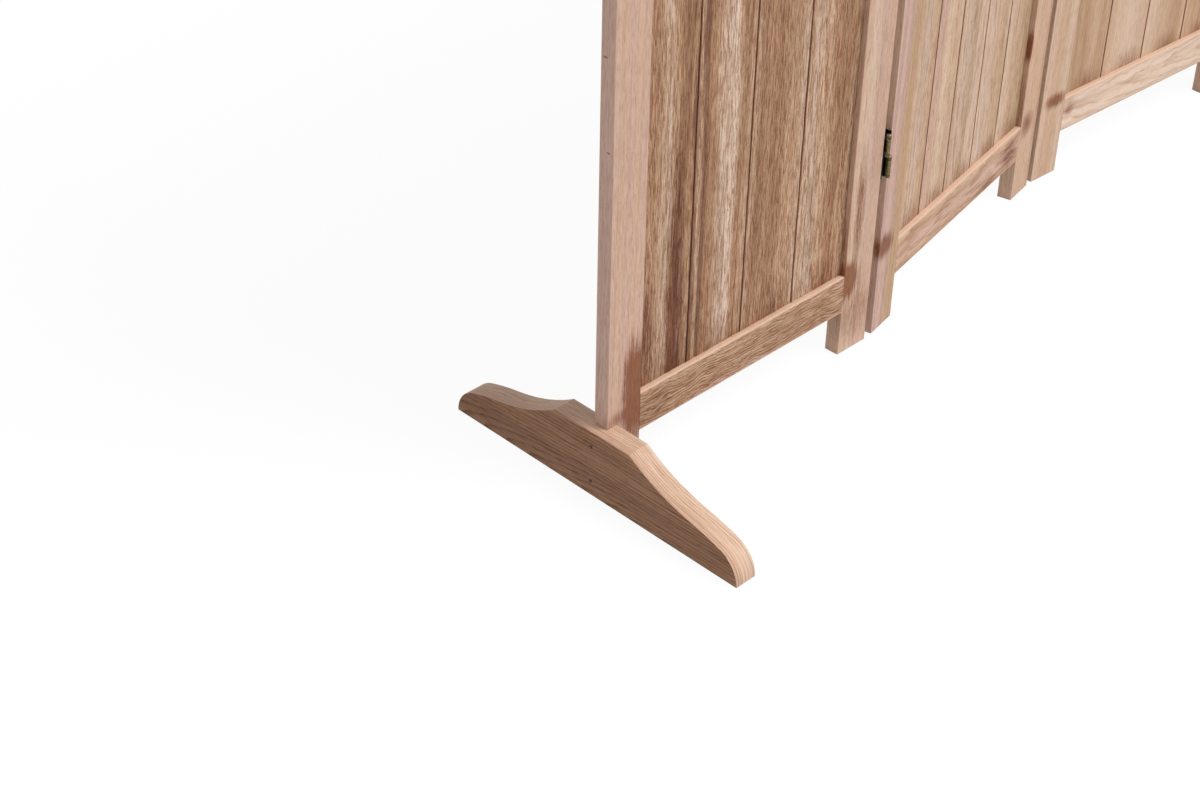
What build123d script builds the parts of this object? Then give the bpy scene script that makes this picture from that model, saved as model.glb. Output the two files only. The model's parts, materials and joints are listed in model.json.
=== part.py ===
from build123d import *
import math
import os

os.makedirs("parts", exist_ok=True)

# A floor-standing folding screen: four framed, boarded panels joined edge to edge
# by two-way hinges, with a long foot across each outer end.
# Millimetres, +Z up, the front faces -Y and panel 1 runs along +X.
# The origin is the middle of the screen's own box, on the floor.

# Panels and their frames
PANEL_COUNT = 4
PANEL_WIDTH = 400.0
PANEL_HEIGHT = 1700.0
PANEL_THICKNESS = 18.0
STILE_WIDTH = 45.6
RAIL_WIDTH = 45.8
LEG_LENGTH = 54.6  # floor to the underside of the bottom rail
STILE_EASE = 0.8  # rounding along a stile's four arrises
RAIL_EASE = 2.0  # rounding on the rail arris beside the boards
RAIL_OUTER_EASE = 0.8

# Joinery
GROOVE_DEPTH = 8.0
TENON_THICKNESS = 6.0
TENON_LENGTH = 25.0
JOINERY_FIT = 0.1  # gap on each side of a tenon or a board in its slot
CUT_MARGIN = 1.0  # how far a cut runs past the piece it opens

# Boards: tongue on the right edge, groove on the left one
BOARD_THICKNESS = 5.0
BOARD_EDGE_ROOM = 1.5  # room left in the frame groove for the boards to swell
BOARD_SEAM = 0.8
BOARD_EASE = 0.4
TONGUE_THICKNESS = 1.8
TONGUE_REACH = 4.0  # how far a tongue enters the next board
TONGUE_ROOM = 0.5
# How far each seam lies from even spacing, one tuple a panel, left to right
SEAM_SHIFTS = [
    (-6.2, -4.0, -2.2),
    (-3.9, -6.1, -0.9, 0.4),
    (-1.1, 2.0, 6.8),
    (3.2, -1.5, 2.4, -2.8),
]

# Feet: a long bracket across the end of the screen, notched round the stile
FOOT_LENGTH = 396.0
FOOT_HEIGHT = 77.5
FOOT_FLAT = 103.0  # level top, centred on the stile
FOOT_WALL = 13.5  # wood outside the stile
FOOT_NOTCH = 13.5  # how far the stile is let in
FOOT_EASE = 0.8
TOE_REACH = 24.0  # from the tip back to the end of the tight toe round
TOE_RISE = 33.5
WAIST_REACH = 64.0  # from the tip back to where the sweep turns hollow
WAIST_RISE = 44.0

# Foot screws, sunk in the outer face
FOOT_SCREW_HEIGHTS = (17.0, 59.2)
FOOT_SCREW_HEAD_RADIUS = 2.35
FOOT_SCREW_RADIUS = 1.6
FOOT_SCREW_LENGTH = 29.0
FOOT_SCREW_SUNK = 4.0  # depth of the head below the foot's face
SCREW_FIT = 0.05  # radial room round every screw
HEAD_RIM = 0.3  # straight rim of a screw head, above its 45-degree sides
SCREW_TIP_SHARE = 3.0  # length of a screw's point, in shank radii
RECESS_SPAN_SHARE = 0.9  # length of each slot of the cross recess, in head radii
RECESS_WIDTH = 0.7
RECESS_DEPTH_SHARE = 0.6  # of the head's depth

# Two-way hinges
PANEL_GAP = 9.0  # between two panels when the screen is flat
HINGE_HEIGHT = 52.4
HINGE_MIDDLE_GAP = 1.6  # between the upper and the lower barrels
PIN_PROUD = 2.5  # pin centre in front of, or behind, the panel face
PIN_RADIUS = 1.1
PIN_HEAD_RADIUS = 2.0
PIN_HEAD_HEIGHT = 0.6
BARREL_RADIUS = 2.4
BARREL_END = 5.2  # each of the leaf's two knuckles on a pin
BARREL_SPACE = 0.3  # between neighbouring knuckles
PIN_FIT = 0.05
PLATE_THICKNESS = 1.4
WEB_CLEAR = 0.7  # between a link's web and the knuckles that turn beside it
HINGE_SCREW_SPACING = 34.0
HINGE_SCREW_RADIUS = 1.2
HINGE_SCREW_LENGTH = 14.0
# Hinge centres above the floor, one tuple a joint: the middle joint's are staggered
HINGE_HEIGHTS = [
    (228.0, 850.0, 1472.0),
    (288.0, 910.0, 1412.0),
    (228.0, 850.0, 1472.0),
]

# Pose as it stands: how far each joint is folded, + back and - forward, degrees
REST_FOLDS = (11.4, -14.2, 12.5)
FOLD_LIMIT = 150.0  # either way from flat: past it a far panel meets a foot

# Sizes that follow
GAP_CENTRE = PANEL_WIDTH + PANEL_GAP / 2
HINGE_SCREW_HEAD_RADIUS = HINGE_SCREW_RADIUS + PLATE_THICKNESS - HEAD_RIM
PIN_SPAN = PANEL_THICKNESS + 2 * PIN_PROUD
BARREL_LENGTH = (HINGE_HEIGHT - HINGE_MIDDLE_GAP) / 2
LINK_BARREL = BARREL_LENGTH - 2 * (BARREL_END + BARREL_SPACE)
INNER_WIDTH = PANEL_WIDTH - 2 * STILE_WIDTH
SLOT_WIDTH = BOARD_THICKNESS + 2 * JOINERY_FIT
MIDDLE = PANEL_THICKNESS / 2
SAME_PLACE = 0.01  # two places nearer than this are one


def span_box(low, high):
    """A box between two corners."""
    size = [h - l for l, h in zip(low, high)]
    return Pos(*low) * Box(*size, align=(Align.MIN, Align.MIN, Align.MIN))


def upright(radius, low, high, x=0.0, y=0.0):
    """A standing cylinder from one height to another."""
    rod = Cylinder(radius, high - low, align=(Align.CENTER, Align.CENTER, Align.MIN))
    return Pos(x, y, low) * rod


def lying(solid):
    """Turn a solid made along +Z so that it points along +X."""
    return Rot(0, 90, 0) * solid


def long_edges(solid, axis, places):
    """Edges parallel to an axis whose two cross coordinates are in places."""
    def spot(edge):
        centre = edge.center()
        across = {Axis.X: (centre.Y, centre.Z), Axis.Z: (centre.X, centre.Y)}
        return across[axis]

    found = []
    for edge in solid.edges().filter_by(axis):
        here = spot(edge)
        if any(math.dist(here, place) < SAME_PLACE for place in places):
            found.append(edge)
    return found


# Wood pieces, each in its own panel's frame:
# x from the left edge, y from the front face, z from the floor

def rail_bottoms():
    """Undersides of the bottom and the top rail."""
    return LEG_LENGTH, PANEL_HEIGHT - RAIL_WIDTH


def stile(left, screw_heights, foot_side):
    """One upright, made as the left one: the boards are on its +X side."""
    body = span_box((0, 0, 0), (STILE_WIDTH, PANEL_THICKNESS, PANEL_HEIGHT))
    corners = [(x, y) for x in (0, STILE_WIDTH) for y in (0, PANEL_THICKNESS)]
    body = fillet(long_edges(body, Axis.Z, corners), STILE_EASE)
    low, high = rail_bottoms()
    slot_front = MIDDLE - SLOT_WIDTH / 2
    slot_back = MIDDLE + SLOT_WIDTH / 2
    bottom = low + RAIL_WIDTH - GROOVE_DEPTH
    top = high + GROOVE_DEPTH
    inner = STILE_WIDTH - GROOVE_DEPTH
    body -= span_box((inner, slot_front, bottom), (STILE_WIDTH, slot_back, top))
    cheek = TENON_THICKNESS / 2 + JOINERY_FIT
    bottom_of_mortise = STILE_WIDTH - TENON_LENGTH - JOINERY_FIT
    for underside in (low, high):
        foot_of_tenon = underside + GROOVE_DEPTH - JOINERY_FIT
        head_of_tenon = underside + RAIL_WIDTH - GROOVE_DEPTH + JOINERY_FIT
        body -= span_box(
            (bottom_of_mortise, MIDDLE - cheek, foot_of_tenon),
            (STILE_WIDTH, MIDDLE + cheek, head_of_tenon),
        )
    if foot_side:
        depth = FOOT_SCREW_LENGTH + FOOT_SCREW_SUNK - FOOT_WALL
        radius = FOOT_SCREW_RADIUS
    else:
        depth = HINGE_SCREW_LENGTH - PLATE_THICKNESS
        radius = HINGE_SCREW_RADIUS
    for height in screw_heights:
        hole = lying(upright(radius + SCREW_FIT, 0, depth + 2 * SCREW_FIT))
        body -= Pos(0, MIDDLE, height) * hole
    return body if left else to_right_side(body)


def to_right_side(piece):
    """Turn a piece made for the left edge half round, onto the right edge."""
    return Pos(PANEL_WIDTH, PANEL_THICKNESS, 0) * Rot(0, 0, 180) * piece


def rail(underside, boards_above):
    """A cross rail with a tenon at each end and a groove for the boards."""
    start = STILE_WIDTH
    end = PANEL_WIDTH - STILE_WIDTH
    top = underside + RAIL_WIDTH
    body = span_box((start, 0, underside), (end, PANEL_THICKNESS, top))
    inner, outer = (top, underside) if boards_above else (underside, top)
    faces = (0, PANEL_THICKNESS)
    body = fillet(long_edges(body, Axis.X, [(y, inner) for y in faces]), RAIL_EASE)
    body = fillet(long_edges(body, Axis.X, [(y, outer) for y in faces]), RAIL_OUTER_EASE)
    groove_low, groove_high = (top - GROOVE_DEPTH, top) if boards_above else (
        underside, underside + GROOVE_DEPTH)
    body -= span_box(
        (start, MIDDLE - SLOT_WIDTH / 2, groove_low),
        (end, MIDDLE + SLOT_WIDTH / 2, groove_high),
    )
    cheek = TENON_THICKNESS / 2
    for low, high in ((start - TENON_LENGTH, start), (end, end + TENON_LENGTH)):
        body += span_box(
            (low, MIDDLE - cheek, underside + GROOVE_DEPTH),
            (high, MIDDLE + cheek, top - GROOVE_DEPTH),
        )
    return body


def board_edges(panel):
    """Left and right edge of each board in a panel."""
    shifts = SEAM_SHIFTS[panel]
    count = len(shifts) + 1
    seams = [
        STILE_WIDTH + INNER_WIDTH * (i + 1) / count + shift
        for i, shift in enumerate(shifts)
    ]
    reach = GROOVE_DEPTH - BOARD_EDGE_ROOM
    lefts = [STILE_WIDTH - reach] + [s + BOARD_SEAM / 2 for s in seams]
    rights = [s - BOARD_SEAM / 2 for s in seams] + [PANEL_WIDTH - STILE_WIDTH + reach]
    return list(zip(lefts, rights))


def board(left, right, first, last):
    """One upright board, tongued and grooved into its neighbours."""
    low, high = rail_bottoms()
    reach = GROOVE_DEPTH - TONGUE_ROOM
    bottom = low + RAIL_WIDTH - reach
    top = high + reach
    front = MIDDLE - BOARD_THICKNESS / 2
    back = MIDDLE + BOARD_THICKNESS / 2
    body = span_box((left, front, bottom), (right, back, top))
    corners = [(x, y) for x in (left, right) for y in (front, back)]
    body = chamfer(long_edges(body, Axis.Z, corners), BOARD_EASE)
    tongue = TONGUE_THICKNESS / 2
    if not last:
        tip = right + BOARD_SEAM + TONGUE_REACH
        body += span_box((right, MIDDLE - tongue, bottom), (tip, MIDDLE + tongue, top))
    if not first:
        floor = left + TONGUE_REACH + TONGUE_ROOM
        side = tongue + JOINERY_FIT
        body -= span_box((left, MIDDLE - side, bottom), (floor, MIDDLE + side, top))
    return body


def foot_outline():
    """The foot's side view, its length along X and its height along Y."""
    half = FOOT_LENGTH / 2
    toe_radius = (TOE_REACH ** 2 + TOE_RISE ** 2) / (2 * TOE_REACH)
    toe_turn = math.degrees(math.atan2(TOE_RISE, toe_radius - TOE_REACH))
    tip = (half, 0)
    waist = (half - WAIST_REACH, WAIST_RISE)
    brow = (FOOT_FLAT / 2, FOOT_HEIGHT)
    with BuildSketch() as outline:
        with BuildLine():
            toe = JernArc(tip, (0, 1), toe_radius, toe_turn)
            rise = TangentArc(toe @ 1, waist, tangent=toe % 1)
            TangentArc(rise @ 1, brow, tangent=rise % 1)
            Line(brow, (0, FOOT_HEIGHT))
            Line((0, 0), tip)
            mirror(about=Plane.YZ)
        make_face()
    return outline.sketch


def foot():
    """The left foot, round the left stile of its panel."""
    thickness = FOOT_WALL + FOOT_NOTCH
    body = extrude(Plane.YZ * foot_outline(), thickness, dir=(1, 0, 0))
    ends = body.faces().filter_by(Axis.X)
    body = fillet(ends.edges(), FOOT_EASE)
    body = Pos(-FOOT_WALL, MIDDLE, 0) * body
    body -= span_box(
        (0, -JOINERY_FIT, -CUT_MARGIN),
        (FOOT_NOTCH + CUT_MARGIN, PANEL_THICKNESS + JOINERY_FIT, FOOT_HEIGHT + CUT_MARGIN),
    )
    head = FOOT_SCREW_SUNK + head_depth(FOOT_SCREW_HEAD_RADIUS, FOOT_SCREW_RADIUS)
    for height in FOOT_SCREW_HEIGHTS:
        bore = lying(upright(FOOT_SCREW_HEAD_RADIUS + SCREW_FIT, 0, head))
        bore += lying(upright(FOOT_SCREW_RADIUS + SCREW_FIT, 0, FOOT_WALL))
        body -= Pos(-FOOT_WALL, MIDDLE, height) * bore
    return body


# Screws, each made along +X with the face of its head at x = 0

def head_depth(head_radius, radius):
    """Depth of a head whose sides slope at 45 degrees, with a short straight rim."""
    return head_radius - radius + HEAD_RIM


def screw(head_radius, radius, length):
    """A countersunk wood screw with a cross recess."""
    depth = head_depth(head_radius, radius)
    tip = SCREW_TIP_SHARE * radius
    profile = Polyline(
        (0, 0), (head_radius, 0), (head_radius, HEAD_RIM), (radius, depth),
        (radius, length - tip), (0, length), close=True,
    )
    body = revolve(Plane.XZ * make_face(profile), Axis.Z)
    along = RECESS_SPAN_SHARE * head_radius / 2
    across = RECESS_WIDTH / 2
    deep = RECESS_DEPTH_SHARE * depth
    for turn in (45, 135):
        cut = span_box((-along, -across, -CUT_MARGIN), (along, across, deep))
        body -= Rot(0, 0, turn) * cut
    return lying(body)


def foot_screws():
    """The two screws through the left foot."""
    one = screw(FOOT_SCREW_HEAD_RADIUS, FOOT_SCREW_RADIUS, FOOT_SCREW_LENGTH)
    x = FOOT_SCREW_SUNK - FOOT_WALL
    return [Pos(x, MIDDLE, height) * one for height in FOOT_SCREW_HEIGHTS]


def screw_heights(centres):
    """Heights of the screws of a row of hinges."""
    half = HINGE_SCREW_SPACING / 2
    return [c + side for c in centres for side in (-half, half)]


def hinge_screws(centres):
    """The hinge screws in a left edge, flush with the hinge plate."""
    one = screw(HINGE_SCREW_HEAD_RADIUS, HINGE_SCREW_RADIUS, HINGE_SCREW_LENGTH)
    return [
        Pos(-PLATE_THICKNESS, MIDDLE, height) * one for height in screw_heights(centres)
    ]


# Hinge pieces, round the hinge's own centre: x = 0 in the middle of the gap,
# y = 0 on the front pin and y = PIN_SPAN on the back one, z = 0 at mid height.
# The two leaves are one part, the second turned half round; so are the two links.

def levels(upper):
    """Lowest and highest point of the upper or the lower barrels."""
    low = HINGE_MIDDLE_GAP / 2
    high = HINGE_HEIGHT / 2
    return (low, high) if upper else (-high, -low)


def knuckle_levels(upper):
    """Heights of a leaf's two knuckles on one pin."""
    low, high = levels(upper)
    return (low, low + BARREL_END), (high - BARREL_END, high)


def half_turn(piece):
    """Turn a hinge piece half round the middle of its gap."""
    return Pos(0, PIN_SPAN, 0) * Rot(0, 0, 180) * piece


def leaf_knuckle(low, high):
    """A front knuckle with the strap that joins it to the left panel's plate."""
    edge = -PANEL_GAP / 2
    inner = edge + PLATE_THICKNESS
    root = PIN_PROUD + PLATE_THICKNESS
    strap = Polyline(
        (edge, PIN_PROUD), (edge, root), (inner, root),
        (-BARREL_RADIUS / 3, BARREL_RADIUS / 2), (-BARREL_RADIUS, 0), close=True,
    )
    body = Pos(0, 0, low) * extrude(make_face(strap), high - low, dir=(0, 0, 1))
    return body + upright(BARREL_RADIUS, low, high)


def leaf():
    """The left panel's leaf: knuckles at the upper front and the lower back."""
    edge = -PANEL_GAP / 2
    half = HINGE_HEIGHT / 2
    body = span_box(
        (edge, PIN_PROUD, -half),
        (edge + PLATE_THICKNESS, PIN_PROUD + PANEL_THICKNESS, half),
    )
    bore = PIN_RADIUS + PIN_FIT
    for low, high in knuckle_levels(True):
        body += leaf_knuckle(low, high)
        body -= upright(bore, low, high)
    for low, high in knuckle_levels(False):
        back = Pos(0, PIN_SPAN, 0) * mirror(leaf_knuckle(low, high), about=Plane.XZ)
        body += back
        body -= upright(bore, low, high, y=PIN_SPAN)
    hole_y = PIN_PROUD + MIDDLE
    sink = HINGE_SCREW_HEAD_RADIUS + SCREW_FIT
    shank = HINGE_SCREW_RADIUS + SCREW_FIT
    cone_depth = sink - shank
    for z in (-HINGE_SCREW_SPACING / 2, HINGE_SCREW_SPACING / 2):
        cone = Cone(shank, sink, cone_depth, align=(Align.CENTER, Align.CENTER, Align.MIN))
        rim = edge + PLATE_THICKNESS - HEAD_RIM
        hole = lying(upright(sink, rim, rim + HEAD_RIM))
        hole += lying(upright(shank, edge, rim))
        hole += Pos(rim - cone_depth, 0, 0) * lying(cone)
        body -= Pos(0, hole_y, z) * hole
    return body


def link(upper):
    """A link: one barrel on each pin, and a web between them."""
    low, high = levels(upper)
    middle_low = low + BARREL_END + BARREL_SPACE
    middle_high = middle_low + LINK_BARREL
    half = PLATE_THICKNESS / 2
    inset = BARREL_RADIUS + WEB_CLEAR
    body = span_box((-half, inset, low), (half, PIN_SPAN - inset, high))
    body += span_box((-half, 0, middle_low), (half, PIN_SPAN, middle_high))
    for y in (0, PIN_SPAN):
        body += upright(BARREL_RADIUS, middle_low, middle_high, y=y)
    for y in (0, PIN_SPAN):
        body -= upright(PIN_RADIUS + PIN_FIT, middle_low, middle_high, y=y)
    return body


def pin_head(level, up):
    """The domed end of a pin."""
    dome = Cone(
        PIN_HEAD_RADIUS, PIN_HEAD_RADIUS / 2, PIN_HEAD_HEIGHT,
        align=(Align.CENTER, Align.CENTER, Align.MIN),
    )
    return Pos(0, 0, level) * (dome if up else Rot(180, 0, 0) * dome)


def pin(upper):
    """A pin right through one set of barrels."""
    low, high = levels(upper)
    return upright(PIN_RADIUS, low, high) + pin_head(low, False) + pin_head(high, True)


def pin_stubs():
    """The open pivot's pin: only its two ends, each within one lower leaf knuckle."""
    first, second = knuckle_levels(False)
    return [
        upright(PIN_RADIUS, *first) + pin_head(first[0], False),
        upright(PIN_RADIUS, *second) + pin_head(second[1], True),
    ]


def pin_core():
    """The middle of the open pivot's pin, within the lower link's barrel."""
    low, _ = levels(False)
    start = low + BARREL_END + BARREL_SPACE
    return upright(PIN_RADIUS, start, start + LINK_BARREL)


# Places. Each joint is folded about its back axis (+) or its front axis (-)

def pin_spot(front):
    """A pin's place in the frame of the panel on its left."""
    return GAP_CENTRE, (-PIN_PROUD if front else PANEL_THICKNESS + PIN_PROUD), 0.0


def turn_about(spot, degrees):
    """Turn about a standing axis."""
    return Pos(*spot) * Rot(0, 0, degrees) * Pos(*[-s for s in spot])


def fold_of(joint):
    """The turn of the right panel against the left one at rest."""
    fold = REST_FOLDS[joint]
    return turn_about(pin_spot(front=fold < 0), fold)


def panel_places():
    """Where each panel's frame stands, with panel 1 still at zero."""
    places = [Location()]
    for joint in range(PANEL_COUNT - 1):
        places.append(places[-1] * fold_of(joint) * Pos(PANEL_WIDTH + PANEL_GAP, 0, 0))
    return places


# Assembly

def panel_nodes(panel):
    """The wood and the screws of one panel, in its own frame."""
    name = f"panel_{panel + 1}"
    first = panel == 0
    last = panel == PANEL_COUNT - 1
    left_hinges = [] if first else HINGE_HEIGHTS[panel - 1]
    right_hinges = [] if last else HINGE_HEIGHTS[panel]
    left_holes = FOOT_SCREW_HEIGHTS if first else screw_heights(left_hinges)
    right_holes = FOOT_SCREW_HEIGHTS if last else screw_heights(right_hinges)
    low, high = rail_bottoms()
    nodes = {
        f"{name}_left_stile": [stile(True, left_holes, first)],
        f"{name}_right_stile": [stile(False, right_holes, last)],
        f"{name}_bottom_rail": [rail(low, True)],
        f"{name}_top_rail": [rail(high, False)],
    }
    edges = board_edges(panel)
    for i, (left, right) in enumerate(edges):
        wood = board(left, right, i == 0, i == len(edges) - 1)
        nodes[f"{name}_board_{i + 1}"] = [wood]
    screws = hinge_screws(left_hinges)
    screws += [to_right_side(s) for s in hinge_screws(right_hinges)]
    nodes[f"{name}_hinge_screws"] = screws
    if first:
        nodes["left_foot"] = [foot()]
        nodes["left_foot_screws"] = foot_screws()
    if last:
        nodes["right_foot"] = [to_right_side(foot())]
        nodes["right_foot_screws"] = [to_right_side(s) for s in foot_screws()]
    return nodes


def hinge_nodes(joint):
    """One joint's hinge pieces, in the frame of the panel on its left."""
    name = f"joint_{joint + 1}_{joint + 2}"
    fold = REST_FOLDS[joint]
    turn = fold_of(joint)
    still = Location()
    back = Pos(0, PIN_SPAN, 0)
    left_pins = [pin(True)]
    right_pins = [back * pin(True)]
    # Folded back, only the upper link stays with the left panel, and the lower link's
    # open pivot is its front one, on the right leaf. Folded forward, only the lower
    # link stays, and its open pivot is the back one, on the left leaf.
    if fold >= 0:
        upper_turn, lower_turn = still, turn
        left_pins.append(back * pin(False))
        right_pins += pin_stubs()
        core = pin_core()
    else:
        upper_turn, lower_turn = turn, still
        right_pins.append(pin(False))
        left_pins += [back * stub for stub in pin_stubs()]
        core = back * pin_core()
    pieces = {
        "left_leaves": [],
        "right_leaves": [],
        "upper_links": [],
        "lower_links": [],
        "left_pins": [],
        "right_pins": [],
    }
    right_leaf = half_turn(leaf())
    for height in HINGE_HEIGHTS[joint]:
        at = Pos(GAP_CENTRE, -PIN_PROUD, height)
        pieces["left_leaves"].append(at * leaf())
        pieces["right_leaves"].append(turn * at * right_leaf)
        pieces["upper_links"].append(upper_turn * at * link(True))
        pieces["lower_links"].append(lower_turn * at * link(False))
        pieces["lower_links"].append(lower_turn * at * core)
        pieces["left_pins"] += [at * piece for piece in left_pins]
        pieces["right_pins"] += [turn * at * piece for piece in right_pins]
    return {f"{name}_{kind}": solids for kind, solids in pieces.items()}


def assembly():
    """Every node's solids, with panel 1 still at zero."""
    places = panel_places()
    nodes = {}
    for panel, place in enumerate(places):
        for name, solids in panel_nodes(panel).items():
            nodes[name] = [place * s for s in solids]
    for joint in range(PANEL_COUNT - 1):
        for name, solids in hinge_nodes(joint).items():
            nodes[name] = [places[joint] * s for s in solids]
    # One node of pins a panel: those of its right joint and of its left one
    for panel in range(PANEL_COUNT):
        pins = []
        if panel < PANEL_COUNT - 1:
            pins += nodes.pop(f"joint_{panel + 1}_{panel + 2}_left_pins")
        if panel > 0:
            pins += nodes.pop(f"joint_{panel}_{panel + 1}_right_pins")
        nodes[f"panel_{panel + 1}_hinge_pins"] = pins
    return nodes


def floor_centre(nodes):
    """Middle of the whole screen's box, on the floor."""
    boxes = [solid.bounding_box() for solids in nodes.values() for solid in solids]
    low_x = min(b.min.X for b in boxes)
    high_x = max(b.max.X for b in boxes)
    low_y = min(b.min.Y for b in boxes)
    high_y = max(b.max.Y for b in boxes)
    return (low_x + high_x) / 2, (low_y + high_y) / 2


NODES = assembly()
CENTRE = floor_centre(NODES)
SHIFT = Pos(-CENTRE[0], -CENTRE[1], 0)
for node, solids in NODES.items():
    moved = [SHIFT * s for s in solids]
    shape = moved[0] if len(moved) == 1 else Compound(children=moved)
    export_step(shape, f"parts/{node}.step")
print(f"{len(NODES)} nodes, panel 1's corner at {-CENTRE[0]:.3f}, {-CENTRE[1]:.3f}")
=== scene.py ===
# %% [markdown]
# # A folding screen of boarded wooden panels
# The solid shapes were drawn in CAD and arrive here as a fixed frame: stiles, rails,
# boards, feet, two-way hinges and screws. Nothing is moved or reshaped in this lesson.
# Blender's job is the look: wood that has figure, fibres and scorch marks in the right
# places, aged brass, a studio, and a camera where the photographer stood.

# %% Load the frame
import json
import math

import bmesh
import bpy
import numpy as np
from mathutils import Matrix, Vector


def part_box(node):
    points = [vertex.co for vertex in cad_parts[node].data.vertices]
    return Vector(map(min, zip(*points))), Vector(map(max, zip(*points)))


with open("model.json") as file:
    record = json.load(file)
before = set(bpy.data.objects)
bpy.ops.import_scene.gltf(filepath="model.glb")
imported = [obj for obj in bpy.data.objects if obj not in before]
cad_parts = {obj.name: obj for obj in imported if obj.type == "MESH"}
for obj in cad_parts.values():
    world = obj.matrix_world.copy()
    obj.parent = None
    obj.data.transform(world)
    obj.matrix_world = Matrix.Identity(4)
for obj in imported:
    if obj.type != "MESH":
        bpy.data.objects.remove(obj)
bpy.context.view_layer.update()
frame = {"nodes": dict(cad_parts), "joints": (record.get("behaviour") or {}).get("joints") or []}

NODES = frame["nodes"]

# %% [markdown]
# Every panel stands at its own small angle, because the screen is partly folded. Wood
# grain has to run straight up each panel all the same, so each panel needs its own
# corner and turn. They can be read from the hinge joints, instead of being typed: a
# joint's lowest value is how far it is away from flat, and its back pin stands at a
# known place beside the next panel's corner.

# %% Find each panel's corner and turn
# Where a panel's pins stand, in metres from its left front corner.
PIN_LEFT, PIN_RIGHT = -0.0045, 0.4045
PIN_FRONT, PIN_BACK = -0.0025, 0.0205
JOINTS = {joint["name"]: joint for joint in frame["joints"]}


def turned(point, angle):
    """A flat point turned about the origin."""
    c, s = math.cos(angle), math.sin(angle)
    return Vector((c * point[0] - s * point[1], s * point[0] + c * point[1]))


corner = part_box("panel_1_left_stile")[0]
PANELS = {1: (Vector((corner.x, corner.y)), 0.0)}
for left in (1, 2, 3):
    front = JOINTS[f"fold_front_{left}_{left + 1}"]["range_deg"][0]
    back = JOINTS[f"fold_back_{left}_{left + 1}"]["range_deg"][0]
    turn = PANELS[left][1] + math.radians(front - back)
    pin = Vector(JOINTS[f"fold_back_{left}_{left + 1}"]["pos_m"][:2])
    PANELS[left + 1] = (pin - turned(Vector((PIN_LEFT, PIN_BACK)), turn), turn)
for number, (place, turn) in PANELS.items():
    print("panel", number, "corner", [round(v, 4) for v in place],
          "turn", round(math.degrees(turn), 1))

# %% [markdown]
# A wood pattern is centred on its piece, so it helps to know how large each piece is
# and where its middle lies along its own panel. A box measured along the world's axes
# would be too large for a turned panel, so the corners are first turned back.

# %% Measure a piece along its own panel


def panel_of(name):
    """The number of the panel that a piece belongs to."""
    return {"left_foot": 1, "right_foot": 4}.get(name) or int(name.split("_")[1])


def piece_box(name):
    """A piece's middle and size in mm: along the panel, through it, and up."""
    place, turn = PANELS[panel_of(name)]
    points = np.array([v.co for v in NODES[name].data.vertices])
    flat = points[:, :2] - np.array(place)
    c, s = math.cos(turn), math.sin(turn)
    points[:, 0] = flat[:, 0] * c + flat[:, 1] * s
    points[:, 1] = flat[:, 1] * c - flat[:, 0] * s
    low, high = points.min(0) * 1000, points.max(0) * 1000
    return Vector((low + high) / 2), Vector(high - low)


print("left stile", [round(v, 1) for v in piece_box("panel_1_left_stile")[1]], "mm")

# %% [markdown]
# Materials are built from nodes. Adding and linking nodes one call at a time is wordy,
# so this small helper has one short method for each kind of node that the finishes
# use. Each method takes numbers or other nodes' outputs, and gives back an output.

# %% A helper that wires shader nodes


def rgb(red, green, blue):
    """A colour as a paint program shows it, made linear for the shader."""
    parts = [v / 255 for v in (red, green, blue)]
    return [v / 12.92 if v <= 0.04045 else ((v + 0.055) / 1.055) ** 2.4 for v in parts] + [1.0]


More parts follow.
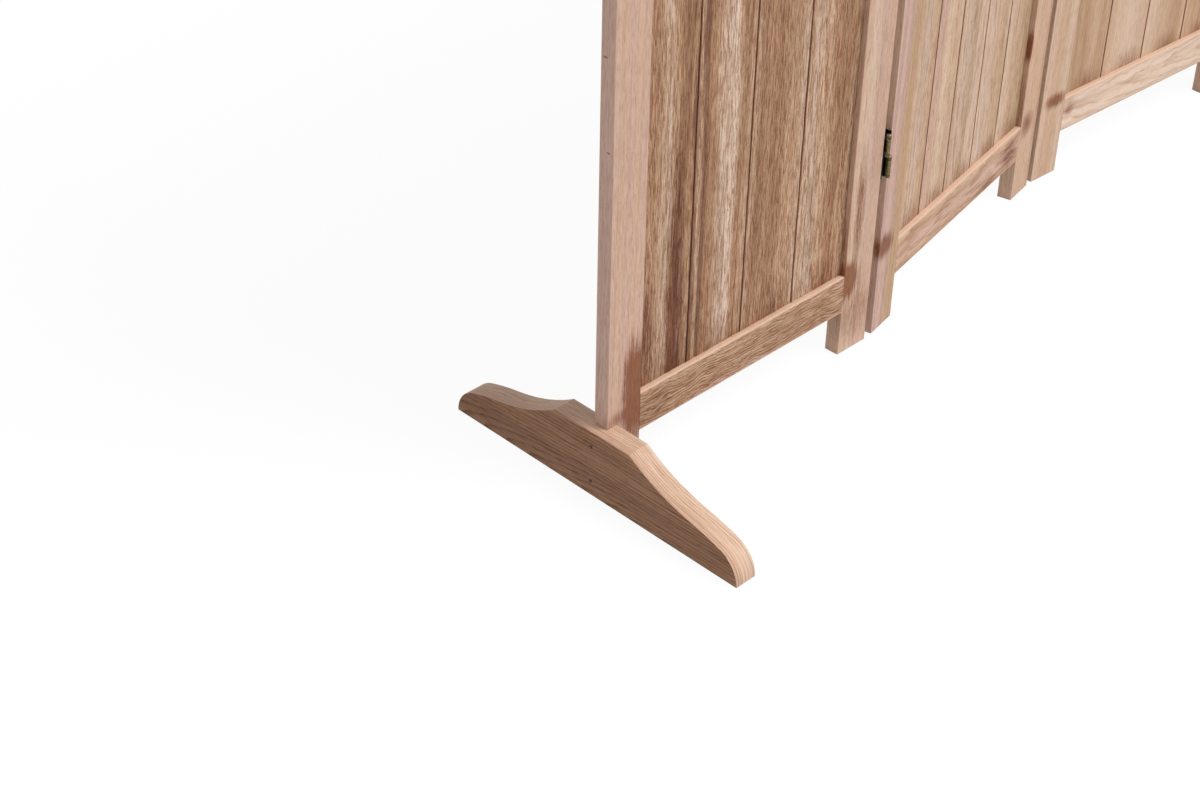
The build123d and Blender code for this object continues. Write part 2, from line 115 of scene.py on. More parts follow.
class Finish:
    """One material under construction."""

    def __init__(self, name):
        self.material = bpy.data.materials.new(name)
        self.material.use_nodes = True
        self.tree = self.material.node_tree
        self.shader = self.tree.nodes["Principled BSDF"]

    def feed(self, socket, value):
        if isinstance(value, bpy.types.NodeSocket):
            self.tree.links.new(value, socket)
        else:
            socket.default_value = value

    def node(self, kind, *values, **settings):
        made = self.tree.nodes.new("ShaderNode" + kind)
        for key, value in settings.items():
            setattr(made, key, value)
        for socket, value in zip(made.inputs, values):
            self.feed(socket, value)
        return made

    def math(self, operation, *values, clamp=False):
        return self.node("Math", *values, operation=operation, use_clamp=clamp).outputs[0]

    def vector(self, operation, *values):
        made = self.node("VectorMath", *values, operation=operation)
        return made.outputs[1 if operation in ("LENGTH", "DISTANCE", "DOT_PRODUCT") else 0]

    def scaled(self, vector, factor):
        return self.vector("SCALE", vector, (0, 0, 0), (0, 0, 0), factor)

    def sway(self, value, noise, amount):
        """A value moved either way by a noise that swings round a half."""
        return self.math("MULTIPLY_ADD", self.math("SUBTRACT", noise, 0.5), amount, value)

    def join(self, *parts):
        return self.node("CombineXYZ", *parts).outputs[0]

    def split(self, vector):
        return self.node("SeparateXYZ", vector).outputs[:3]

    def noise(self, place, detail=2.0, rough=0.5):
        made = self.node("TexNoise")
        self.feed(made.inputs["Vector"], place)
        self.feed(made.inputs["Scale"], 1.0)
        self.feed(made.inputs["Detail"], detail)
        self.feed(made.inputs["Roughness"], rough)
        return made.outputs[0]

    def step(self, value, low, high):
        made = self.node("MapRange", value, low, high, interpolation_type="SMOOTHSTEP")
        return made.outputs[0]

    def ramp(self, value, stops, ease="EASE"):
        made = self.node("ValToRGB", value)
        made.color_ramp.interpolation = ease
        marks = made.color_ramp.elements
        while len(marks) < len(stops):
            marks.new(1.0)
        for mark, (place, _) in zip(marks, stops):
            mark.position = place
        for mark, (_, colour) in zip(marks, stops):
            mark.color = colour if hasattr(colour, "__len__") else (colour, colour, colour, 1)
        return made.outputs[0]

    def mix(self, share, first, second, kind="MIX"):
        made = self.node("Mix", data_type="RGBA", blend_type=kind)
        for socket, value in zip((0, 6, 7), (share, first, second)):
            self.feed(made.inputs[socket], value)
        return made.outputs[2]

    def bump(self, height, distance, strength):
        made = self.node("Bump")
        self.feed(made.inputs["Strength"], strength)
        self.feed(made.inputs["Distance"], distance)
        self.feed(made.inputs["Height"], height)
        self.feed(self.shader.inputs["Normal"], made.outputs[0])

    def dress(self, name):
        """Put the finished material on a piece."""
        slots = NODES[name].material_slots
        if not slots:
            NODES[name].data.materials.append(self.material)
        for slot in slots:
            slot.material = self.material


print("finish helper ready")

# %% [markdown]
# The wood is a light, open-grained timber that was lightly scorched with a flame and
# brushed. Its colours run from umber in the darkest bands to cream in the palest. They
# are named once here, as a maker would name stains, and each piece below only says in
# which order they cross it.

# %% Name the colours of the wood
STAINS = {
    "umber": rgb(122, 80, 52),
    "brown": rgb(146, 103, 72),
    "chestnut": rgb(166, 124, 91),
    "tan": rgb(184, 146, 113),
    "sand": rgb(200, 167, 138),
    "grey": rgb(204, 178, 158),
    "pale": rgb(214, 187, 164),
    "cream": rgb(228, 204, 186),
    "peach": rgb(206, 171, 147),
    "rose": rgb(204, 170, 154),
    "mauve": rgb(186, 151, 142),
    "olive": rgb(186, 156, 122),
}
GRAIN_LINE = rgb(178, 138, 101)  # what the dark lines multiply the wood by
# This colour is painted shade in the gaps between the boards.
SEAM_SHADE = rgb(168, 130, 98)  # what a seam between two boards multiplies it by
# This colour darkens scorch marks and painted shade marks alike.
SCORCH_AND_SHADE = rgb(170, 124, 86)  # and what a scorch mark does


def stains(text):
    """Colour stops from words such as "0 tan, 40 pale, 100 brown"."""
    pairs = [part.split() for part in text.split(",")]
    return [(float(place) / 100, STAINS[stain]) for place, stain in pairs]


print(len(STAINS), "stains")

# %% [markdown]
# Real boards are sawn from a log, so their lines are slices through year rings. The
# pattern does the same: it measures the distance from a tree's middle that lies beside
# or behind the piece and leans a little against it. A far middle gives straight lines,
# a near one gives arches and ovals. Because the pattern is solid, the lines meet round
# the arrises, and end grain shows at the ends without further work.

# %% The wood finish
SPACES = {"upright": "zxy", "rail": "xzy", "foot": "yzx"}  # along, across, deep
# A noise: how fast it changes through the grain and along it, its detail, its roughness.
CLOUDS = (0.045, 0.003, 2.0, 0.6)
STREAKS = (0.3, 0.008, 4.0, 0.7)
PORES = (0.9, 0.07, 2.0, 0.6)
FIBRES = 0.55  # through the grain; along it every kind of piece has its own run
DRIFT = 0.022  # the slow noise that makes the lines wander
# The pale rim is partly sanded wood and partly a painted highlight on the eased arrises.
ARRIS = 2.2  # how far the sanded rim reaches round an edge
SEAM_FADE, SEAM_CORE = 1.4, 0.3  # a seam starts to show at the first, is full at the second
GRAIN_RELIEF = 0.0003  # in metres
BARE_ROUGHNESS = 0.56


def local_place(finish, name):
    """Place on a piece, in mm from its middle, along its own panel's axes."""
    middle, size = piece_box(name)
    spot, turn = PANELS[panel_of(name)]
    shift = turned(spot * -1000, -turn)
    mapping = finish.node("Mapping", finish.node("TexCoord").outputs["Object"])
    mapping.inputs["Location"].default_value = (
        shift.x - middle.x, shift.y - middle.y, -middle.z)
    mapping.inputs["Rotation"].default_value = (0, 0, -turn)
    mapping.inputs["Scale"].default_value = (1000, 1000, 1000)
    return mapping.outputs[0], middle, size


def year_rings(finish, along, across, deep, cloud, streaky, rings):
    """Dark lines where the piece cuts the tree's year rings, 0 to 1."""
    spacing, beside, behind, lean = rings
    depth = finish.math("MULTIPLY_ADD", along, lean, finish.math("SUBTRACT", deep, behind))
    radius = finish.vector("LENGTH", finish.join(
        finish.math("SUBTRACT", across, beside), depth, 0.0))
    bend = finish.math("MULTIPLY", cloud, 2.2)
    count = finish.math("MULTIPLY_ADD", radius, 1 / spacing, bend)
    count = finish.math("MULTIPLY_ADD", streaky, 0.9, count)
    share = finish.math("FRACT", count)
    line = finish.ramp(share, [(0, 0.0), (0.5, 0.08), (0.82, 0.6), (0.93, 1.0), (1, 0.0)])
    return finish.math("MULTIPLY", line, finish.step(streaky, 0.3, 0.6))


def scorches_and_shade(finish, place, middle, marks, streaky, low_fibre):
    """Soft smudges, streaked along the grain: scorch where the flame stayed longer, and painted
    shade where a mark stands in for shade.
    """
    total = 0.0
    for x, y, z, wide, deep, high, strength in marks:
        spot = finish.vector("SUBTRACT", place, Vector((x, y, z)) - middle)
        spot = finish.vector("MULTIPLY", spot, (1 / wide, 1 / deep, 1 / high))
        reach = finish.math("MULTIPLY_ADD", streaky, -0.9, finish.vector("LENGTH", spot))
        total = finish.math("MULTIPLY_ADD", finish.step(reach, 0.75, -0.35), strength, total)
    grainy = finish.math("MULTIPLY_ADD", low_fibre, 0.5, 0.8)
    return finish.math("MULTIPLY", total, grainy, clamp=True)


def lit_edges_by_normal(finish, name):
    """1 on a plank's sawn edges and 0 on its two faces, told apart by the normal. On a foot it
    picks the edges' paler colour, painted light.
    """
    through = tuple(turned((1, 0), PANELS[panel_of(name)][1])) + (0,)
    facing = finish.vector("DOT_PRODUCT", finish.node("TexCoord").outputs["Normal"], through)
    return finish.step(finish.math("ABSOLUTE", facing), 0.8, 0.4)


def sanded_rim_and_highlight(finish, colour, strength, streaky, sides):
    """A pale strip near both given sides: sanded wood, and partly a painted highlight on the
    eased arris. A side is a place, its half size and a reach.
    """
    edge = finish.math("MULTIPLY_ADD", streaky, 0.6, 0.7)
    for place, half, reach in sides:
        outward = finish.math("ABSOLUTE", place)
        near = finish.step(outward, half - reach, half - 0.4 * reach)
        edge = finish.math("MULTIPLY", edge, near)
    edge = finish.math("MULTIPLY", edge, strength, clamp=True)
    return finish.mix(edge, colour, STAINS["peach"])


def seam_shade(finish, colour, place, seams):
    """A dark line along each seam of a board, painted shade in the gap between two boards."""
    for seam in seams:
        gap = finish.math("ABSOLUTE", finish.math("SUBTRACT", place, seam))
        colour = finish.mix(finish.step(gap, SEAM_FADE, SEAM_CORE), colour, SEAM_SHADE, "MULTIPLY")
    return colour


def wood(name, grain, across_stains, rings, ring_depth, fibre, cloud, wander, seed,
         bend=0.004, run=0.04, marks=(), rim=0.0, ledge=3.0, side=None, seams=()):
    """Give one piece its wood. Sizes are in mm."""
    finish = Finish(f"wood {name}")
    place, middle, size = local_place(finish, name)
    order = SPACES[grain]
    parts = dict(zip("xyz", finish.split(place)))
    along, across, deep = (parts[axis] for axis in order)
    width, thick = (size["xyz".index(axis)] for axis in order[1:])
    start = (seed * 37.1, seed * 11.3, seed * 23.7)
    sawn = 0.0
    if side:
        sawn = lit_edges_by_normal(finish, name)
        across = finish.math(
            "MULTIPLY_ADD", sawn, finish.math("SUBTRACT", deep, across), across)
    straight = finish.join(across, deep, along)

    drift = finish.vector("MULTIPLY_ADD", straight, (DRIFT, DRIFT, bend), start)
    slow = finish.noise(drift, 1.5)
    across = finish.math("ADD", across, finish.math("MULTIPLY_ADD", slow, 2 * wander, -wander))
    bent = finish.join(across, deep, along)

    def figure(through, lengthways, detail, rough):
        scale = (through, through, lengthways)
        return finish.noise(finish.vector("MULTIPLY_ADD", bent, scale, start), detail, rough)

    clouds = figure(*CLOUDS)
    streaky = figure(*STREAKS)
    fibres = figure(FIBRES, run, 4.0, 0.8)
    pores = finish.step(figure(*PORES), 0.56, 0.62)
    lines = year_rings(finish, along, across, deep, clouds, streaky, rings)

    crossing = finish.math("MULTIPLY_ADD", across, 1 / width, 0.5)
    crossing = finish.sway(crossing, streaky, 0.16)
    crossing = finish.sway(crossing, clouds, 0.35)
    colour = finish.ramp(crossing, stains(across_stains), "LINEAR")
    # On a foot, painted light and shade: the top and ends take the paler stains as lit, and the
    # faces keep the browner ones as shaded.
    if side:
        colour = finish.mix(sawn, colour, finish.ramp(crossing, stains(side), "LINEAR"))
    tone = finish.math("MULTIPLY_ADD", clouds, 2 * cloud, 1 - cloud)
    tone = finish.sway(tone, streaky, cloud)
    colour = finish.scaled(colour, tone)

    low_fibre = finish.step(fibres, 0.54, 0.44)
    shade = finish.math("MULTIPLY", lines, ring_depth)
    shade = finish.math("MULTIPLY_ADD", pores, 0.8 * fibre, shade)
    shade = finish.math("MULTIPLY_ADD", low_fibre, 0.8 * fibre, shade, clamp=True)
    shade = finish.math("MULTIPLY", shade, finish.math("MULTIPLY_ADD", sawn, -0.25, 1.0))
    colour = finish.mix(shade, colour, GRAIN_LINE, "MULTIPLY")
    # A pale rim on the arrises: sanded wood, and partly a painted highlight.
    if rim:
        colour = sanded_rim_and_highlight(finish, colour, rim, streaky, (
            (parts[order[1]], width / 2, ARRIS), (parts[order[2]], thick / 2, ledge)))
    # Painted shade along the seams between the boards.
    colour = seam_shade(finish, colour, parts["x"], [seam - middle.x for seam in seams])
    # Scorch marks, and painted shade at the boards' feet and on the stiles' inner faces.
    if marks:
        burnt_and_shaded = scorches_and_shade(finish, place, middle, marks, streaky, low_fibre)
        colour = finish.mix(burnt_and_shaded, colour, SCORCH_AND_SHADE, "MULTIPLY")
    finish.feed(finish.shader.inputs["Base Color"], colour)
    finish.feed(finish.shader.inputs["Roughness"],
                finish.math("MULTIPLY_ADD", shade, 0.2, BARE_ROUGHNESS))
    relief = finish.math("SUBTRACT", finish.math("MULTIPLY", fibres, 0.5), shade)
    finish.bump(relief, GRAIN_RELIEF, 0.6)
    finish.dress(name)


print("wood finish ready")

# %% [markdown]
# The boards carry most of the pattern: broad pale and brown bands run up them, and no
# two are alike. Each board names its stains from left to right, then how its rings lie.
# A solid colour with noise would look like plastic laminate; stains that cross the board
# at chosen places, and wander a little as they climb, look sawn.

# %% Finish the boards
STRAIGHT = (5.0, -60.0, 70.0, 0.01)  # ring spacing, how far beside and behind, lean
ARCHED = (5.5, 6.0, 24.0, 0.035)
BOARDS = {
    1: [
        ("0 brown, 12 chestnut, 24 tan, 38 sand, 52 grey, 64 tan, 72 chestnut, 84 brown, 92 tan,"
         " 100 umber", STRAIGHT, 0.3),
        ("0 brown, 8 sand, 15 umber, 24 chestnut, 36 tan, 48 grey, 62 cream, 72 tan, 82 chestnut,"
         " 92 sand, 100 chestnut", STRAIGHT, 0.3),
        ("0 sand, 10 chestnut, 26 tan, 42 chestnut, 54 tan, 64 sand, 74 tan, 86 sand, 100 grey",
         (5.0, 90.0, 40.0, 0.004), 0.3),
        ("0 sand, 22 grey, 42 sand, 54 tan, 64 chestnut, 74 tan, 84 sand, 90 chestnut, 100 brown",
         ARCHED, 0.4),
    ],
    2: [
        ("0 olive, 30 sand, 55 grey, 80 sand, 100 tan", STRAIGHT, 0.35),
        ("0 rose, 22 peach, 45 pale, 70 sand, 100 pale", STRAIGHT, 0.25),
        ("0 sand, 30 grey, 52 olive, 64 grey, 100 pale", ARCHED, 0.45),
        ("0 pale, 30 grey, 60 sand, 85 olive, 100 grey", ARCHED, 0.3),
        ("0 pale, 40 sand, 75 olive, 100 tan", STRAIGHT, 0.3),
    ],
    3: [
        ("0 tan, 20 olive, 42 tan, 64 sand, 84 tan, 100 sand", (6.0, 8.0, 30.0, 0.03), 0.4),
        ("0 sand, 50 pale, 100 sand", (2.4, 80.0, 60.0, 0.003), 0.2),
        ("0 pale, 40 sand, 70 tan, 100 sand", (3.4, -50.0, 60.0, 0.01), 0.2),
        ("0 sand, 45 tan, 80 pale, 100 grey", STRAIGHT, 0.25),
    ],
    4: [
        ("0 tan, 35 sand, 60 pale, 100 tan", ARCHED, 0.35),
        ("0 sand, 40 grey, 70 tan, 100 sand", STRAIGHT, 0.3),
        ("0 pale, 30 sand, 60 tan, 100 pale", STRAIGHT, 0.25),
        ("0 tan, 30 brown, 60 tan, 100 sand", (2.8, 70.0, 40.0, 0.004), 0.35),
        ("0 grey, 50 sand, 80 chestnut, 100 tan", ARCHED, 0.35),
    ],
}
BOARD_FOOT = 100.0  # height at which the boards meet the bottom rail
# BOARD_DEEP also sets how far the painted shade at a board's foot reaches through it.
BOARD_DEEP = 12.0  # how far through a board its scorch marks reach
TONGUE = 4.8  # a board's tongue, out of sight in the next board
TONGUE_ROOM = 0.4
# By panel; the first is the most figured and the most scorched, and has the tallest painted shade
# at its boards' feet.
BOARD_FIBRE = {1: 0.8, 2: 0.4, 3: 0.25, 4: 0.4}
BOARD_CLOUD = {1: 0.26, 2: 0.16, 3: 0.16, 4: 0.16}
FOOT_SHADE_HIGH = {1: 44.0, 2: 26.0, 3: 26.0, 4: 26.0}
EDGE_SCORCHES = {  # place along the panel and up, reach along and up, strength
    "panel_1_board_1": [(94, 190, 13, 210, 1.3), (56, 150, 16, 90, 1.0)],
}
for panel, boards in BOARDS.items():
    for index, (colours, rings, depth) in enumerate(boards):
        piece = f"panel_{panel}_board_{index + 1}"
        middle, size = piece_box(piece)
        edges = [middle.x - size.x / 2 + TONGUE_ROOM, middle.x + size.x / 2 - TONGUE]
        # Painted shade at the foot of each board, just above the bottom rail.
        marks = [(middle.x + 8, middle.y, BOARD_FOOT,
                  32.0, BOARD_DEEP, FOOT_SHADE_HIGH[panel], 0.6)]
        marks += [(x, middle.y, z, wide, BOARD_DEEP, high, strength)
                  for x, z, wide, high, strength in EDGE_SCORCHES.get(piece, [])]
        wood(piece, "upright", colours, rings, depth, fibre=BOARD_FIBRE[panel],
             cloud=BOARD_CLOUD[panel], wander=6.0, marks=marks,
             seed=panel * 3.1 + index * 1.7, seams=edges)
print(sum(len(boards) for boards in BOARDS.values()), "boards finished")

# %% [markdown]
# The stiles are straight-grained lengths of the same timber, pinkish and smooth. The
# flame left a dark smudge wherever a rail joins one, since the joint was dressed twice.
# A mark is a place on the panel, its three reaches and its strength. The marks at 354,
# on a right stile's inner face beside the boards, are painted shade.

# %% Finish the stiles
STILES = {
    "panel_1_left": ("0 rose, 25 peach, 50 rose, 75 peach, 100 rose", STRAIGHT, 0.2,
                     [(38, 0, 108, 20, 14, 70, 2.2), (20, 0, 84, 26, 10, 12, 0.7),
                      (0, 12, 478, 1.2, 3, 1.2, 1.6), (0, 6, 384, 1.2, 3, 1.2, 1.6)]),
    "panel_1_right": ("0 peach, 30 pale, 55 rose, 78 peach, 100 rose",
                      (9.0, 20.0, 40.0, 0.03), 0.3,
                      [(362, 0, 92, 17, 14, 26, 2.0), (370, 0, 170, 9, 14, 90, 0.8),
                       # The mark at 354 is painted shade on the stile's inner face beside the
                       # boards.
                       (354, 9, 120, 4, 20, 70, 0.6), (372, 0, 45, 40, 20, 40, 0.5)]),
    # This stile's darker mauve, olive and tan stains are partly painted shade, for the hinge side
    # where it stands beside the first panel.
    "panel_2_left": ("0 pale, 12 mauve, 34 rose, 48 mauve, 62 olive, 84 tan, 100 olive",
                     STRAIGHT, 0.25, [(12, 0, 108, 20, 14, 18, 1.6)]),
    "panel_2_right": ("0 peach, 40 sand, 70 peach, 100 tan", STRAIGHT, 0.2,
                      # The two marks at 354 are painted shade on the stile's inner face beside
                      # the boards.
                      [(372, 0, 98, 18, 14, 20, 1.0), (354, 4, 205, 4, 12, 22, 1.5),
                       (354, 9, 120, 4, 20, 60, 0.5)]),
    "panel_3_left": ("0 pale, 30 peach, 60 sand, 80 pale, 100 peach", STRAIGHT, 0.2,
                     [(26, 0, 104, 22, 14, 12, 1.4)]),
    "panel_3_right": ("0 peach, 50 sand, 100 peach", STRAIGHT, 0.3,
                      [(374, 0, 100, 16, 14, 18, 0.8)]),
    "panel_4_left": ("0 rose, 40 peach, 70 sand, 100 pale", STRAIGHT, 0.3,
                     [(22, 0, 100, 20, 14, 16, 0.9)]),
    "panel_4_right": ("0 peach, 40 pale, 75 peach, 100 tan", STRAIGHT, 0.35,
                      [(366, 0, 112, 16, 14, 50, 0.9)]),
}
TOP_JOINT = 1677.0
for index, (side, (colours, rings, depth, marks)) in enumerate(STILES.items()):
    piece = f"{side}_stile"
    middle = piece_box(piece)[0]
    high_mark = (middle.x, 0, TOP_JOINT, 20, 14, 14, 0.7)
    wood(piece, "upright", colours, rings, depth, fibre=0.28, cloud=0.12, wander=4.0,
         marks=marks + [high_mark], rim=0.3, seed=20 + index * 2.3)
print(len(STILES), "stiles finished")

# %% [markdown]
# Wavy figure runs along the rails, since they were cut near the middle of the log. Their
# arrises were sanded round, which took the scorched skin off and left them pale, and the
# pale rim is also a painted highlight where the eased arrises catch the light. The rim
# keeps within about 2 mm of the upper and lower sides, and on those sides it reaches in
# from the front and the back, so that it covers most of the ledge.

# %% Finish the rails
RAILS = {
    1: ("0 rose, 20 tan, 40 sand, 60 tan, 80 sand, 100 peach", (3.1, -46.0, 8.0, 0.02), 1.0,
        [(70, 0, 75, 40, 14, 20, 0.4)]),
    2: ("0 tan, 25 peach, 55 rose, 80 tan, 100 pale", (6.0, 6.0, 18.0, 0.07), 0.5,
        [(330, 0, 76, 26, 14, 20, 0.9), (270, 0, 58, 30, 14, 10, 0.6)]),
    3: ("0 pale, 30 cream, 60 pale, 80 cream, 100 pale", (5.0, 2.0, 9.5, 0.06), 0.45,
        [(56, 0, 84, 12, 14, 14, 0.6)]),
    4: ("0 tan, 30 peach, 60 tan, 100 pale", (5.0, 5.0, 14.0, 0.06), 0.5,
        [(60, 0, 78, 20, 14, 16, 0.6)]),
}
RAIL_FIBRE = {1: 0.7, 2: 0.35, 3: 0.2, 4: 0.35}
for panel, (colours, rings, depth, marks) in RAILS.items():
    for level in ("bottom", "top"):
        at_top = level == "top"
        wood(f"panel_{panel}_{level}_rail", "rail", colours, rings, depth,
             fibre=RAIL_FIBRE[panel], cloud=0.2, wander=7.0 if panel == 1 else 5.0,
             bend=0.03, marks=() if at_top else marks, rim=1.0, ledge=8.0,
             seed=50 + panel * 2.9 + (7.7 if at_top else 0))
print(2 * len(RAILS), "rails finished")

# %% [markdown]
# Each foot is a thick plank laid on edge, with its grain running along it. It wasn't sawn
# quite in line with the tree, so the lines slant slowly across its faces. The faces are
# painted brown as shaded, and the curved top and the ends much paler as lit: painted
# light and shade. The normal of the surface tells them apart, and it belongs to the
# piece, so the colour stays put when the screen folds.

# %% Finish the feet
SPACING, BESIDE, BEHIND, LEAN = 4.2, -46.0, -33.5, 0.12
for index, piece in enumerate(("left_foot", "right_foot")):
    inward = 1 if piece == "left_foot" else -1
    # The brown stains are the faces, painted as shaded, and the side stains are the top and ends,
    # painted as lit.
    wood(piece, "foot", "0 chestnut, 30 brown, 55 chestnut, 78 brown, 100 chestnut",
         (SPACING, BESIDE, inward * BEHIND, LEAN), 1.0,
         fibre=0.42, cloud=0.16, wander=4.0, bend=0.006, run=0.012,
         seed=80 + index * 5.3, side="0 rose, 35 peach, 70 pale, 100 rose")
print("feet finished")

# %% [markdown]
# The hinges are small brass castings that were blackened and then wore back to an olive
# brass on their round knuckles. Plate and knuckle are one piece of metal, so one finish
# has to show both: it measures the distance to the pins' axes, and is brass near them.
# Bright rims at the ends of the knuckles are painted highlights.

# %% The aged brass finish
HINGE_HEIGHTS = {1: (228.0, 850.0, 1472.0), 2: (288.0, 910.0, 1412.0),
                 3: (228.0, 850.0, 1472.0)}
KNUCKLE_ENDS = (0.8, 6.15, 20.85, 26.2)  # above and below the middle of a hinge
KNUCKLE_REACH = 2.7
BLACKENED, OLIVE = rgb(30, 27, 21), rgb(146, 128, 84)
PAINTED_GLINT, DULL = rgb(196, 184, 146), rgb(60, 50, 36)


def pin_axes(joint, side):
    """World places in mm of the front and the back pin on one side of a joint."""
    spot, turn = PANELS[joint if side == "left" else joint + 1]
    x = PIN_RIGHT if side == "left" else PIN_LEFT
    return [(spot + turned((x, y), turn)) * 1000 for y in (PIN_FRONT, PIN_BACK)]


def aged_brass(name, joint, axes, worn=0.55):
    """Blackened brass, worn back to olive near the given pin axes."""
    finish = Finish(f"brass {name}")
    place = finish.scaled(finish.node("TexCoord").outputs["Object"], 1000.0)
    x, y, z = finish.split(place)
    flat = finish.join(x, y, 0.0)
    near = 0.0
    for axis in axes:
        reach = finish.vector("DISTANCE", flat, (axis.x, axis.y, 0))
        round_pin = finish.step(reach, KNUCKLE_REACH + 0.4, KNUCKLE_REACH)
        near = finish.math("MAXIMUM", round_pin, near)
    height = 1e4
    for level in HINGE_HEIGHTS[joint]:
        gap = finish.math("ABSOLUTE", finish.math("SUBTRACT", z, level))
        height = finish.math("MINIMUM", gap, height)
    rim = 0.0
    for end in KNUCKLE_ENDS:
        rim = finish.math("MAXIMUM", finish.math("COMPARE", height, end, 0.45), rim)
    patina = finish.noise(finish.vector("MULTIPLY", place, (0.7, 0.7, 0.5)), 4.0, 0.65)
    speck = finish.noise(finish.vector("MULTIPLY", place, (2.5, 2.5, 2.5)), 2.0)
    share = finish.math("MULTIPLY", near, finish.step(patina, 0.25, 0.6))
    share = finish.math("MULTIPLY", share, worn, clamp=True)
    colour = finish.mix(share, BLACKENED, OLIVE)
    # Painted highlights: bright rims at the knuckle ends.
    glint = finish.math("MULTIPLY", finish.math("MULTIPLY", rim, near), 0.55)
    colour = finish.mix(glint, colour, PAINTED_GLINT)
    spots = finish.math("MULTIPLY", finish.step(speck, 0.55, 0.7), 0.35)
    colour = finish.mix(spots, colour, DULL)
    finish.feed(finish.shader.inputs["Base Color"], colour)
    finish.feed(finish.shader.inputs["Metallic"], 0.75)
    finish.feed(finish.shader.inputs["Roughness"], finish.math("MULTIPLY_ADD", patina, 0.35, 0.3))
    finish.bump(patina, 0.0001, 0.5)
    finish.dress(name)


print("brass finish ready")

# %% [markdown]
# Each link reaches from a pin of the left leaf to a pin of the right one, the upper link
# from front to back and the lower one from back to front. The finish is given the pins
# that each piece really holds.

# %% Finish the hinges
for joint in (1, 2, 3):
    (left_front, left_back), (right_front, right_back) = (
        pin_axes(joint, side) for side in ("left", "right"))
    base = f"joint_{joint}_{joint + 1}"
    aged_brass(f"{base}_left_leaves", joint, (left_front, left_back))
    aged_brass(f"{base}_right_leaves", joint, (right_front, right_back))
    aged_brass(f"{base}_upper_links", joint, (left_front, right_back), 0.9)
    aged_brass(f"{base}_lower_links", joint, (left_back, right_front), 0.9)
print("3 joints of hinges finished")

# %% [markdown]
# Screws and hinge pins are turned metal. The screws are blackened steel, and the pins
# show bare brass on their domed ends. Fine noise breaks up the gloss as handling does.

# %% Finish the screws and pins


def turned_metal(name, dark, light, metallic, smooth):
    """Metal that varies between two colours."""
    finish = Finish(f"metal {name}")
    place = finish.scaled(finish.node("TexCoord").outputs["Object"], 1000.0)
    stain = finish.noise(finish.vector("MULTIPLY", place, (0.9, 0.9, 0.9)), 3.0, 0.6)
    fine = finish.noise(finish.vector("MULTIPLY", place, (6.0, 6.0, 6.0)), 2.0)
    colour = finish.mix(finish.step(stain, 0.35, 0.65), dark, light)
    finish.feed(finish.shader.inputs["Base Color"], colour)
    finish.feed(finish.shader.inputs["Metallic"], metallic)
    finish.feed(finish.shader.inputs["Roughness"],
                finish.math("MULTIPLY_ADD", fine, 0.25, smooth))
    finish.bump(fine, 0.00005, 0.4)
    finish.dress(name)


for name in NODES:
    if name.endswith("_screws"):
        turned_metal(name, rgb(22, 21, 20), rgb(48, 45, 42), 0.6, 0.3)
    elif name.endswith("_pins"):
        turned_metal(name, rgb(92, 80, 50), rgb(168, 150, 104), 0.85, 0.25)
print("screws and pins finished")

# %% [markdown]
# The object stands in a white studio. The floor takes its soft shadow, and looks nearly
# white because the rays that show it, straight or mirrored, see it mixed with a plain
# white glow. The rays that only carry light see an ordinary pale floor, so that it lights
# the wood from below as a real one does.

# %% Lay the floor and the white surround
FLOOR_HALF = 8.0
FLOOR_GLOW = 0.9  # the glow's share in the floor that is seen
GLOW_STRENGTH = 1.04
AMBIENT = 0.55
WHITE = (1, 1, 1, 1)


def seen_directly(nodes, links):
    """1 for rays that show the background as such, 0 for rays that only carry light."""
    path = nodes.new("ShaderNodeLightPath")
    total = path.outputs["Is Camera Ray"]
    for ray in ("Is Glossy Ray", "Is Transmission Ray"):
        most = nodes.new("ShaderNodeMath")
        most.operation = "MAXIMUM"
        links.new(total, most.inputs[0])
        links.new(path.outputs[ray], most.inputs[1])
        total = most.outputs[0]
    return total


shape = bmesh.new()
bmesh.ops.create_grid(shape, x_segments=1, y_segments=1, size=FLOOR_HALF)
bmesh.ops.translate(shape, verts=shape.verts, vec=(0, 0, -0.0002))
mesh = bpy.data.meshes.new("studio_floor")
shape.to_mesh(mesh)
shape.free()
floor = bpy.data.objects.new("studio_floor", mesh)
bpy.context.scene.collection.objects.link(floor)

floor_paint = Finish("studio floor")
pale = floor_paint.mix(
    floor_paint.noise(floor_paint.node("TexCoord").outputs["Object"]),
    (0.60, 0.60, 0.60, 1), (0.62, 0.62, 0.62, 1))
floor_paint.feed(floor_paint.shader.inputs["Base Color"], pale)
floor_paint.feed(floor_paint.shader.inputs["Roughness"], 0.9)
glow = floor_paint.node("Emission", WHITE, GLOW_STRENGTH)
direct = seen_directly(floor_paint.tree.nodes, floor_paint.tree.links)
both = floor_paint.node("MixShader", floor_paint.math("MULTIPLY", direct, FLOOR_GLOW),
                        floor_paint.shader.outputs[0], glow.outputs[0])
output = floor_paint.tree.nodes["Material Output"]
floor_paint.tree.links.new(both.outputs[0], output.inputs["Surface"])
mesh.materials.append(floor_paint.material)

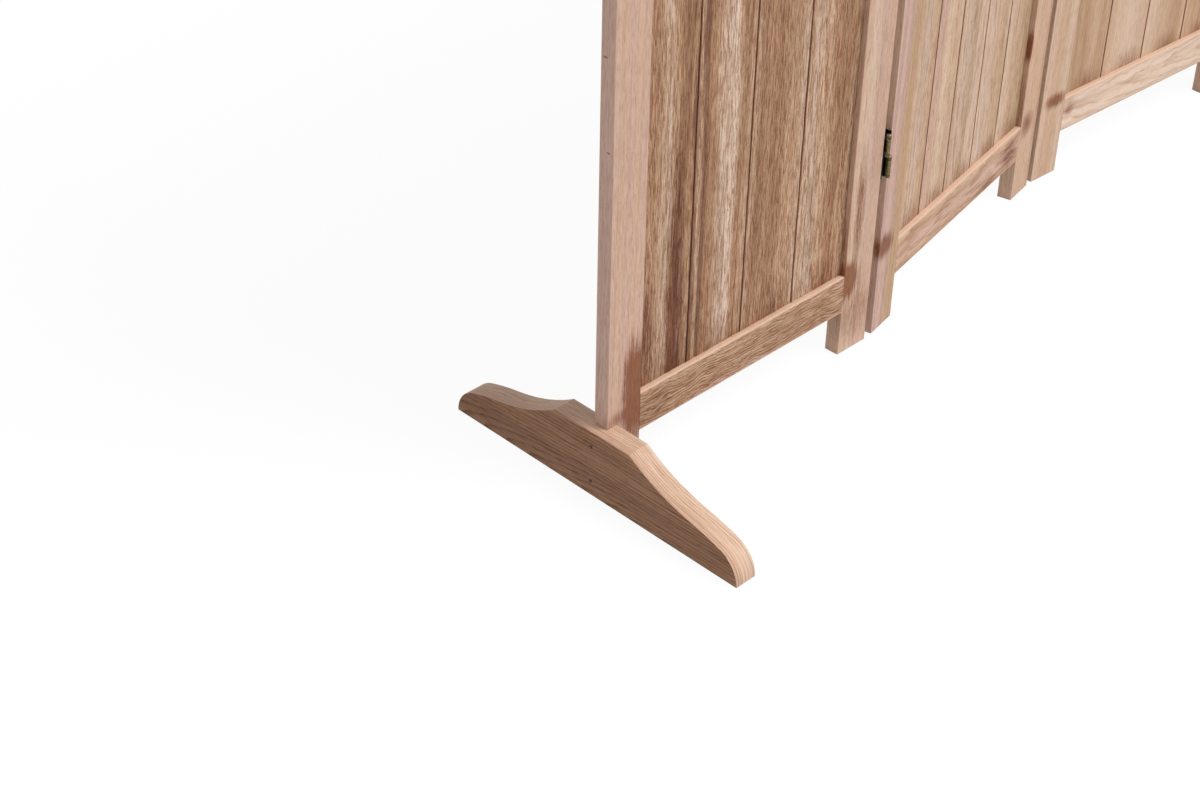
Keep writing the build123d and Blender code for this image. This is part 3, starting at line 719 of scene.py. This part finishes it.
world = bpy.data.worlds.new("white surround")
bpy.context.scene.world = world
world.use_nodes = True
nodes, links = world.node_tree.nodes, world.node_tree.links
lit = nodes["Background"]
lit.inputs["Color"].default_value = WHITE
lit.inputs["Strength"].default_value = AMBIENT
shown = nodes.new("ShaderNodeBackground")
shown.inputs["Color"].default_value = WHITE
shown.inputs["Strength"].default_value = 1.0
choice = nodes.new("ShaderNodeMixShader")
links.new(seen_directly(nodes, links), choice.inputs[0])
links.new(lit.outputs[0], choice.inputs[1])
links.new(shown.outputs[0], choice.inputs[2])
links.new(choice.outputs[0], nodes["World Output"].inputs["Surface"])
print("floor and surround ready")

# %% [markdown]
# One broad lamp stands in front, to the right and high up, as the bright fronts and tops
# and the darker left sides of the real object show. A sun with a wide disc gives the
# same even light over the whole height that a large studio screen would.

# %% Place the lamp
LAMP_STRENGTH = 2.6
LAMP_WIDTH = 28  # degrees that its disc fills
lamp = bpy.data.lights.new("key light", "SUN")
lamp.energy = LAMP_STRENGTH
lamp.angle = math.radians(LAMP_WIDTH)
key = bpy.data.objects.new("key light", lamp)
bpy.context.scene.collection.objects.link(key)
towards_lamp = Vector((0.34, -0.55, 1.0))
key.rotation_mode = "QUATERNION"
key.rotation_quaternion = towards_lamp.to_track_quat("Z", "Y")
print("lamp", [round(v, 2) for v in towards_lamp.normalized()])

# %% [markdown]
# The camera stands to the left of the screen, a little above its middle, and looks down
# at its lower left part. Its place was worked out from the edges of the panels and the
# foot, so it is kept as a step from the first panel's corner, with three angles.

# %% Set up the camera
LENS, SENSOR = 66.77, 36.0  # mm
YAW_PITCH_ROLL = (45.17, 35.74, -1.11)
EYE_FROM_CORNER = Vector((-1.24652, -1.22829, 1.37324))
camera = bpy.data.cameras.new("camera")
camera.lens = LENS
camera.sensor_width = SENSOR
camera.sensor_fit = "HORIZONTAL"
camera.clip_end = 100
eye = bpy.data.objects.new("camera", camera)
bpy.context.scene.collection.objects.link(eye)
yaw, pitch, roll = (math.radians(v) for v in YAW_PITCH_ROLL)
ahead = Vector((math.sin(yaw) * math.cos(pitch), math.cos(yaw) * math.cos(pitch),
                -math.sin(pitch)))
level = Vector((math.cos(yaw), -math.sin(yaw), 0))
under = ahead.cross(level)
right = level * math.cos(roll) + under * math.sin(roll)
down = under * math.cos(roll) - level * math.sin(roll)
where = corner + EYE_FROM_CORNER
facing = Matrix((right, -down, -ahead)).transposed().to_4x4()
eye.matrix_world = Matrix.Translation(where) @ facing
bpy.context.scene.camera = eye
bpy.context.scene.view_settings.view_transform = "Standard"
print("camera at", [round(v, 3) for v in where])
